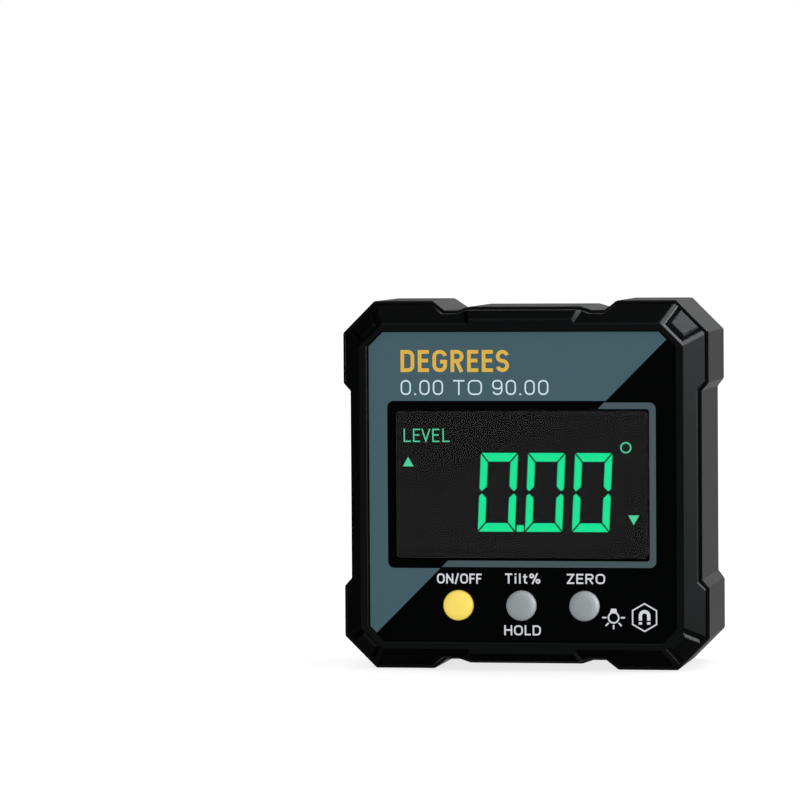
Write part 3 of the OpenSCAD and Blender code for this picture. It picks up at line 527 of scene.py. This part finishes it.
field_w, field_h = PANEL_HALF_W - FIELD_SIDE_GAP, PANEL_HALF_H - FIELD_END_GAP
hole_w, hole_low, hole_high = ring_w - HOLE_SIDE_IN, ring_low - HOLE_LOW_OUT, ring_high + HOLE_TOP_OUT
meet = (field_w + field_h - FIELD_CUT) / 2
field_inner = np.concatenate([
    [(hole_low, hole_low)],
    arc((-hole_w + STRIPE_R, hole_low + STRIPE_R), STRIPE_R, 270, 180, CORNER_STEPS),
    arc((-hole_w + STRIPE_R, hole_high - STRIPE_R), STRIPE_R, 180, 90, CORNER_STEPS),
    [(hole_high - TOP_LEAD, hole_high), (hole_high, hole_high)],
])
field_outer = np.concatenate([
    [(-meet, -meet)],
    np.linspace((-field_w, FIELD_CUT - field_h), (-field_w, ring_low + SIDE_LEAD), CORNER_STEPS),
    np.linspace((-field_w, field_h - FIELD_CUT), (FIELD_CUT - field_w, field_h), CORNER_STEPS),
    [(field_w - FIELD_CUT, field_h), (meet, meet)],
])
print_piece("panel_blue_field", [(field_inner, field_outer, False)], PRINT_Y, PRINT_BLUE)


def right_half_ring(w, low, high, r):
    """The right part of a rounded box round the pane, from the diagonal over both right corners to the
    diagonal again."""
    return np.concatenate([
        [(high, high)],
        arc((w - r, high - r), r, 90, 0, CORNER_STEPS),
        arc((w - r, low + r), r, 0, -90, CORNER_STEPS),
        [(low, low)],
    ])


stripe_inner = right_half_ring(edge_w, edge_low, edge_high, STRIPE_INNER_R)
stripe_outer = right_half_ring(ring_w, ring_low, ring_high, STRIPE_R)
print_piece("panel_stripe", [(stripe_inner, stripe_outer, False)], PRINT_Y, PRINT_STRIPE)

# Plain words: the unit and its range on the blue field, and the uses of the buttons. Each row has the box
# of the word, its depth and finish, and its pen and gap
FIELD_TOP_Y = PRINT_Y - HAIR
WORDS = {
    "unit_word": ("DEGREES", (-19.6, -1.9, 18.58, 22.15), FIELD_TOP_Y, PRINT_AMBER, 0.17, 0.16),
    "range_word": ("0.00 TO 90.00", (-19.6, 4.6, 14.86, 17.29), FIELD_TOP_Y, PRINT_PALE, 0.1, 0.22),
    "power_word": ("ON/OFF", (-13.83, -6.5, -15.74, -14.1), PRINT_Y, PRINT_WHITE, 0.16, 0.14),
    "tilt_word": ("Tilt%", (-2.66, 3.12, -15.69, -14.04), PRINT_Y, PRINT_WHITE, 0.16, 0.2),
    "zero_word": ("ZERO", (7.43, 13.67, -15.68, -14.04), PRINT_Y, PRINT_WHITE, 0.16, 0.2),
    "hold_word": ("HOLD", (-2.84, 3.15, -24.07, -22.44), PRINT_Y, PRINT_WHITE, 0.16, 0.18),
}
for name, word in WORDS.items():
    word_piece(name, *word)

# A lamp sign: a ring with a socket above and rays on its other sides
LAMP_X, LAMP_Z, LAMP_R, LAMP_PEN = 15.02, -21.1, 0.84, 0.25
RAY_START, RAY_END, RAY_PEN = 1.17, 1.85, 0.26
SOCKET_LOW, SOCKET_HIGH, SOCKET_LOW_HALF_W, SOCKET_HIGH_HALF_W = 0.72, 1.45, 0.6, 0.42
RING_STEPS = 48
rays = [
    stroke(np.array((LAMP_X, LAMP_Z)) + np.outer([RAY_START, RAY_END], [math.cos(a), math.sin(a)]), RAY_PEN)
    for a in np.radians([180, 226, 270, 314, 360])
]
lamp_ring = stroke(circle((LAMP_X, LAMP_Z), LAMP_R, RING_STEPS), LAMP_PEN, True)
socket_left, socket_right = (
    [
        (LAMP_X + s * SOCKET_LOW_HALF_W, LAMP_Z + SOCKET_LOW),
        (LAMP_X + s * SOCKET_HIGH_HALF_W, LAMP_Z + SOCKET_HIGH),
    ]
    for s in (-1, 1)
)
lamp_socket = (socket_left, socket_right, False)
print_piece("lamp_sign", [*rays, lamp_ring, lamp_socket], PRINT_Y, PRINT_WHITE)

# A magnet sign: a horseshoe with two tips inside a hexagon
MAGNET_X, MAGNET_Z, HEXAGON_R, HEXAGON_PEN = 20.05, -21.04, 2.24, 0.22
SHOE_R, SHOE_PEN, SHOE_RISE, SHOE_DROP, SHOE_STEPS = 0.68, 0.54, 0.27, 0.5, 24
TIP_START, TIP_END = 0.74, 1.14
hexagon = stroke(arc((MAGNET_X, MAGNET_Z), HEXAGON_R, 90, 390, 6), HEXAGON_PEN, True)
horseshoe = stroke(np.concatenate([
    [(MAGNET_X - SHOE_R, MAGNET_Z - SHOE_DROP)],
    arc((MAGNET_X, MAGNET_Z + SHOE_RISE), SHOE_R, 180, 0, SHOE_STEPS),
    [(MAGNET_X + SHOE_R, MAGNET_Z - SHOE_DROP)],
]), SHOE_PEN)
tips = [
    stroke([(x, MAGNET_Z - TIP_START), (x, MAGNET_Z - TIP_END)], SHOE_PEN)
    for x in (MAGNET_X - SHOE_R, MAGNET_X + SHOE_R)
]
print_piece("magnet_sign", [hexagon, horseshoe, *tips], PRINT_Y, PRINT_WHITE)

# The display: a dark field in a black border, and its lit signs
FIELD_Y = GLASS_Y - HAIR
SIGN_Y = FIELD_Y - HAIR
FIELD_LEFT, FIELD_RIGHT, FIELD_HALF_H = -20.5, 20.05, 11.75
display_edges = (
    [(FIELD_LEFT, -FIELD_HALF_H), (FIELD_RIGHT, -FIELD_HALF_H)],
    [(FIELD_LEFT, FIELD_HALF_H), (FIELD_RIGHT, FIELD_HALF_H)],
    False,
)
print_piece("display_field", [display_edges], FIELD_Y, DISPLAY_FIELD)

# The figures: three leaning noughts of bars and posts with slits between them, and a point. A post's outer and
# inner edges taper to a tip that lies a share of the post's width in
DIGIT_LOW, DIGIT_HIGH, DIGIT_W, LEAN = -7.38, 5.4, 6.08, 0.6
DIGITS_AT = (-7.34, 0.4, 8.08)
BAR, POST, SLIT = 1.4, 1.18, 0.1
MITRE_GAP, TIP_GAP = SLIT * 1.6, SLIT * 2
OUTER_TAPER, INNER_TAPER, TIP_SHARE = 0.42, 0.75, 0.36
POINT_HIGH = -6.31


def figure_zero(left):
    """The six lit bars of a nought as ruled sheets: mitred where bars meet, pointed at the middle, and
    leaning by a shift across that grows evenly with height."""
    def lean(places):
        q = np.asarray(places, float)
        q[:, 0] += left + LEAN * (q[:, 1] - DIGIT_LOW) / (DIGIT_HIGH - DIGIT_LOW)
        return q

    middle = (DIGIT_LOW + DIGIT_HIGH) / 2
    post_gap = MITRE_GAP * BAR / POST
    bars = []
    for end, s in ((DIGIT_HIGH, -1), (DIGIT_LOW, 1)):
        bars.append((
            lean([(MITRE_GAP, end), (DIGIT_W - MITRE_GAP, end)]),
            lean([(POST + MITRE_GAP, end + s * BAR), (DIGIT_W - POST - MITRE_GAP, end + s * BAR)]),
            False,
        ))
        tip_x, tip_z = POST * TIP_SHARE, middle - s * TIP_GAP
        outer = [(0, end + s * post_gap), (0, tip_z - s * OUTER_TAPER), (tip_x, tip_z)]
        inner = [(POST, end + s * (BAR + post_gap)), (POST, tip_z - s * INNER_TAPER), (tip_x, tip_z)]
        bars.append((lean(outer), lean(inner), False))
        far_outer, far_inner = ([(DIGIT_W - x, z) for x, z in edge] for edge in (outer, inner))
        bars.append((lean(far_outer), lean(far_inner), False))
    return bars


figures = sum((figure_zero(x) for x in DIGITS_AT), [])
point = ([(-0.97, DIGIT_LOW), (0.18, DIGIT_LOW)], [(-0.93, POINT_HIGH), (0.22, POINT_HIGH)], False)
print_piece("display_figures", [*figures, point], SIGN_Y, DISPLAY_GREEN)

# The small signs: a degree ring, two arrows and a word of thin strokes
DEGREE_AT, DEGREE_R, DEGREE_PEN = (16.93, 6.29), 0.8, 0.23
degree_ring = stroke(circle(DEGREE_AT, DEGREE_R, RING_STEPS), DEGREE_PEN, True)
print_piece("display_degree", [degree_ring], SIGN_Y, DISPLAY_PALE)
up_arrow = ([(-19.6, 3.18), (-18.74, 4.73)], [(-17.83, 3.18), (-18.74, 4.73)], False)
down_arrow = ([(17.27, -4.65), (18.15, -6.23)], [(19.06, -4.65), (18.15, -6.23)], False)
print_piece("display_arrows", [up_arrow, down_arrow], SIGN_Y, DISPLAY_PALE)
SIGN_LOW, SIGN_TOP, SIGN_W, WIRE = 7.16, 9.3, 1.16, 0.21
LEVEL_AT = (-19.45, -17.9, -16.55, -14.72, -13.05)


def display_letter(sign, x):
    """The strokes of a thin letter of the display that starts at x."""
    left, right, low, top = x + WIRE / 2, x + SIGN_W, SIGN_LOW + WIRE / 2, SIGN_TOP - WIRE / 2
    middle = (SIGN_LOW + SIGN_TOP) / 2 + 0.06
    paths = {
        "L": [[(left, SIGN_TOP), (left, low), (right, low)]],
        "E": [[(right, top), (left, top), (left, low), (right, low)], [(left, middle), (x + 1.05, middle)]],
        "V": [[(x + 0.12, SIGN_TOP), (x + 0.76, SIGN_LOW + 0.18), (x + 1.4, SIGN_TOP)]],
    }
    return [stroke(path, WIRE) for path in paths[sign]]


level_strokes = sum((display_letter(sign, x) for sign, x in zip("LEVEL", LEVEL_AT)), [])
print_piece("display_level", level_strokes, SIGN_Y, DISPLAY_PALE)

# A pale floor that gloss doesn't mirror
FLOOR_REACH = 12.0
floor_corners = np.array([(-1, -1, 0), (1, -1, 0), (1, 1, 0), (-1, 1, 0)]) * FLOOR_REACH
floor_mesh = mesh_of("floor", floor_corners, [(0, 1, 2, 3)])
floor_mesh.materials.append(
    finish_of("floor_paint", (0.3, 0.3, 0.3), 1.0, sheen=0.0, glow=0.78, light=(1, 1, 1))
)
floor = bpy.data.objects.new("floor", floor_mesh)
bpy.context.scene.collection.objects.link(floor)
floor.visible_glossy = False

# A room that is white to the eye and to matt surfaces, but dim in reflections
room = bpy.data.worlds.new("room")
bpy.context.scene.world = room
room.use_nodes = True
room.cycles.sampling_method = "NONE"
nodes, links = room.node_tree.nodes, room.node_tree.links
paint = nodes["Background"]
paint.inputs["Color"].default_value = (1, 1, 1, 1)
eye = nodes.new("ShaderNodeLightPath")
aim = nodes.new("ShaderNodeTexCoord")


def joined(operation, first, second):
    """A node output that adds or multiplies two outputs."""
    join = nodes.new("ShaderNodeMath")
    join.operation = operation
    links.new(first, join.inputs[0])
    links.new(second, join.inputs[1])
    return join.outputs[0]


def glow_towards(way, start, full, low, high, smooth=True):
    """The light from one side of the room: it climbs from low to high as the dot product of the direction
    with way goes from start to full."""
    along = nodes.new("ShaderNodeVectorMath")
    along.operation = "DOT_PRODUCT"
    along.inputs[1].default_value = way
    links.new(aim.outputs["Generated"], along.inputs[0])
    climb = nodes.new("ShaderNodeMapRange")
    climb.interpolation_type = "SMOOTHSTEP" if smooth else "LINEAR"
    for socket, value in zip(("From Min", "From Max", "To Min", "To Max"), (start, full, low, high)):
        climb.inputs[socket].default_value = value
    links.new(along.outputs["Value"], climb.inputs["Value"])
    return climb.outputs["Result"]


# The backdrop behind the gauge, brighter to the right and above, and the dimmer glows of the other sides,
# each with its way, where it starts and is full, and its least and most light
backdrop = joined(
    "ADD",
    glow_towards((1.2, 0, 0.755), -0.222, 0.068, 0, 0.3, smooth=False),
    glow_towards((0, 0, 1), 0.05, 0.4, 0, 0.55, smooth=False),
)
dim_room = joined("MULTIPLY", backdrop, glow_towards((0, 1, 0), 0.82, 0.97, 0, 1))
GLOWS = [
    ((0, -1, 0), 0.75, 0.95, 0.002, 0.11),
    ((-1, 0, 0), 0.4, 0.8, 0, 0.008),
    ((0, 0, 1), 0.4, 0.9, 0, 0.012),
    ((0, 0.93, -0.37), 0.93, 0.99, 0, 0.35),
    ((0, -0.5, 0.866), 0.75, 0.95, 0, 0.3),
    ((0.62, -0.6, -0.5), 0.8, 0.97, 0, 0.15),
    ((-0.62, -0.6, -0.5), 0.8, 0.97, 0, 0.15),
    ((0.6, 0.56, -0.57), 0.93, 0.99, 0, 0.12),
    ((0.85, 0.48, -0.2), 0.9, 0.99, 0, 0.1),
    ((-0.69, 0.58, -0.42), 0.97, 0.995, 0, 0.05),
]
for glow in GLOWS:
    dim_room = joined("ADD", dim_room, glow_towards(*glow))
choose = nodes.new("ShaderNodeMix")
choose.inputs["A"].default_value = 1.0
links.new(eye.outputs["Is Glossy Ray"], choose.inputs["Factor"])
links.new(dim_room, choose.inputs["B"])
links.new(choose.outputs["Result"], paint.inputs["Strength"])


def soft_light(name, place, size, radiance):
    """A square soft light that faces the gauge, as bright per area as asked."""
    lamp = bpy.data.lights.new(name, "AREA")
    lamp.size = size
    lamp.energy = radiance * math.pi * size * size
    light = bpy.data.objects.new(name, lamp)
    light.location = place
    light.rotation_mode = "QUATERNION"
    light.rotation_quaternion = (Vector(place) - GAUGE_MIDDLE).to_track_quat("Z", "Y")
    light.visible_camera = False
    bpy.context.scene.collection.objects.link(light)
    return light


def group_of(name, piece):
    """A collection of one piece, for a light that reaches or is stopped by that piece alone."""
    group = bpy.data.collections.new(name)
    group.objects.link(piece)
    return group


# The right side and the upper right corner, each cap's rolled edge, and the slopes of the corner pads, which
# the frames round the pads don't shade from their light
soft_light("right_light", (0.62, 0.15, 0.19), 0.5, 0.22)
soft_light("corner_light", (0.357, 0.261, 0.556), 0.26, 6.2)
for cap, radiance in zip(caps, (6.0, 17.0, 17.0)):
    cap_light = soft_light(cap.name + "_light", (0.65, 0.07, 0.25), 0.55, radiance)
    cap_light.light_linking.receiver_collection = group_of(cap.name + "_lit", cap)
strip_light = soft_light("strip_light", (0.574, 0.357, 0.212), 0.14, 28.0)
strip_light.light_linking.receiver_collection = group_of("lit_strips", front)
strip_light.light_linking.blocker_collection = group_of("strip_shades", floor)

# The camera: to the right of the face and a little above it, with a long lens. The picture is PICTURE pixels
# wide and high, and shows the centre of the face at GAUGE_PX, with PX_PER_MM pixels to a mm there
PICTURE, SENSOR = 800, 36.0
GAUGE_PX = (520.41, 486.96)
PX_PER_MM = 6.1854
DISTANCE = 0.85
YAW, PITCH, ROLL = math.radians(8.59), math.radians(3.2), math.radians(0.306)
focal_px = PX_PER_MM * DISTANCE / MM
away = Vector((math.sin(YAW) * math.cos(PITCH), -math.cos(YAW) * math.cos(PITCH), math.sin(PITCH)))
rim_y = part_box("front_shell")[0].y
lens = bpy.data.cameras.new("camera")
lens.sensor_width = SENSOR
lens.lens = focal_px / PICTURE * SENSOR
camera = bpy.data.objects.new("camera", lens)
bpy.context.scene.collection.objects.link(camera)
camera.location = Vector((0, rim_y, FACE_Z * MM)) + away * DISTANCE
camera.rotation_mode = "QUATERNION"
aimed = (-away).to_track_quat("-Z", "Y") @ Quaternion((0, 0, 1), -ROLL)
turn_left = Quaternion((0, 1, 0), math.atan((GAUGE_PX[0] - PICTURE / 2) / focal_px))
turn_up = Quaternion((1, 0, 0), math.atan((GAUGE_PX[1] - PICTURE / 2) / focal_px))
camera.rotation_quaternion = aimed @ turn_left @ turn_up
bpy.context.scene.camera = camera

view = bpy.context.scene.view_settings
view.view_transform = "Standard"
view.look = "None"
view.exposure = 0.0
view.gamma = 1.0
